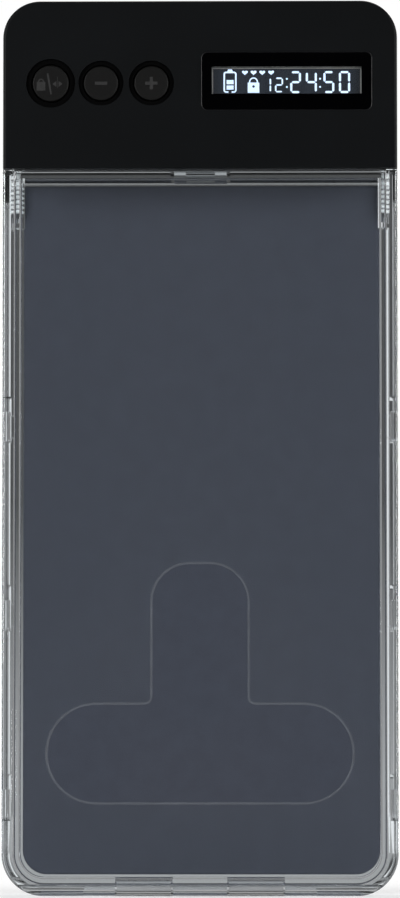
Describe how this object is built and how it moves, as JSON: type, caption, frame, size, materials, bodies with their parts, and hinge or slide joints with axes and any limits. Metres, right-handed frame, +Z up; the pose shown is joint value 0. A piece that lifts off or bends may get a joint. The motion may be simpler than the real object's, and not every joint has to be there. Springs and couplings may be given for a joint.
{
  "type": "timed lock container",
  "caption": "Upright clear phone container with a forward-hinged cover that has an inverted-T opening, and a black timer head that holds keys, display and a motor-driven lock bolt.",
  "frame": {"origin": "centre of the base, on the surface it stands on", "axes": "display towards -Y, +X to the right as seen from the front, +Z up along the length"},
  "size_m": [0.09, 0.022, 0.204],
  "materials": {
    "clear_plastic": "clear, polished",
    "pad": "matte soft foam sheet",
    "steel": "zinc plated",
    "pin_steel": "ground",
    "black_screw": "black oxide",
    "black_housing": "satin black",
    "window": "glossy black",
    "lcd": "dark display glass",
    "backlight": "white moulding",
    "key_mat": "matte silicone",
    "key": "satin black",
    "board": "green solder mask",
    "switch": "black moulding",
    "chip": "black epoxy",
    "socket": "stamped shell",
    "cell": "foil pouch",
    "lead_red": "insulated wire",
    "lead_black": "insulated wire",
    "buzzer": "black moulding",
    "motor": "drawn can",
    "gearbox": "plates",
    "clamp": "white nylon",
    "pinion": "white acetal",
    "bolt": "machined"
  },
  "bodies": {
    "case": {"back_tray": "clear_plastic", "tray_pad": "pad", "hinge_pin": "pin_steel", "tray_screws": "steel", "head_front": "black_housing", "head_back": "black_housing", "housing_screws": "black_screw", "display_window": "window", "display_panel": "lcd", "display_backlight": "backlight", "key_mat": "key_mat", "main_board": "board", "key_switches": "switch", "board_parts": "chip", "board_screws": "steel", "charge_socket": "socket", "battery_cell": "cell", "battery_leads": "lead_red", "buzzer": "buzzer", "motor_can": "motor", "gearbox": "gearbox", "motor_leads": "lead_black", "motor_clamp": "clamp", "clamp_screws": "steel"},
    "cover": {"front_cover": "clear_plastic", "cover_strike": "clear_plastic"},
    "lock_key": {"lock_key": "key"},
    "minus_key": {"minus_key": "key"},
    "plus_key": {"plus_key": "key"},
    "pinion": {"output_shaft": "pin_steel", "drive_pinion": "pinion"},
    "bolt": {"lock_bolt": "bolt"}
  },
  "joints": [
    {"name": "cover_hinge", "type": "hinge", "parent": "case", "child": "cover", "pos_m": [0, -0.009, 0.002], "axis": [1, 0, 0], "range_deg": [0, 90]},
    {"name": "lock_key_press", "type": "slide", "parent": "case", "child": "lock_key", "axis": [0, 1, 0], "range_m": [0, 0.0005], "stiffness_N_per_m": 2500},
    {"name": "minus_key_press", "type": "slide", "parent": "case", "child": "minus_key", "axis": [0, 1, 0], "range_m": [0, 0.0005], "stiffness_N_per_m": 2500},
    {"name": "plus_key_press", "type": "slide", "parent": "case", "child": "plus_key", "axis": [0, 1, 0], "range_m": [0, 0.0005], "stiffness_N_per_m": 2500},
    {"name": "pinion_spin", "type": "hinge", "parent": "case", "child": "pinion", "pos_m": [0, 0.0034, 0.179], "axis": [1, 0, 0], "range_deg": [0, 102.4]},
    {"name": "bolt_slide", "type": "slide", "parent": "case", "child": "bolt", "axis": [0, 0, -1], "range_m": [0, 0.005]}
  ],
  "couplings": [
    {"joint": "pinion_spin", "follows": "bolt_slide", "rad_per_m": 357.14}
  ]
}
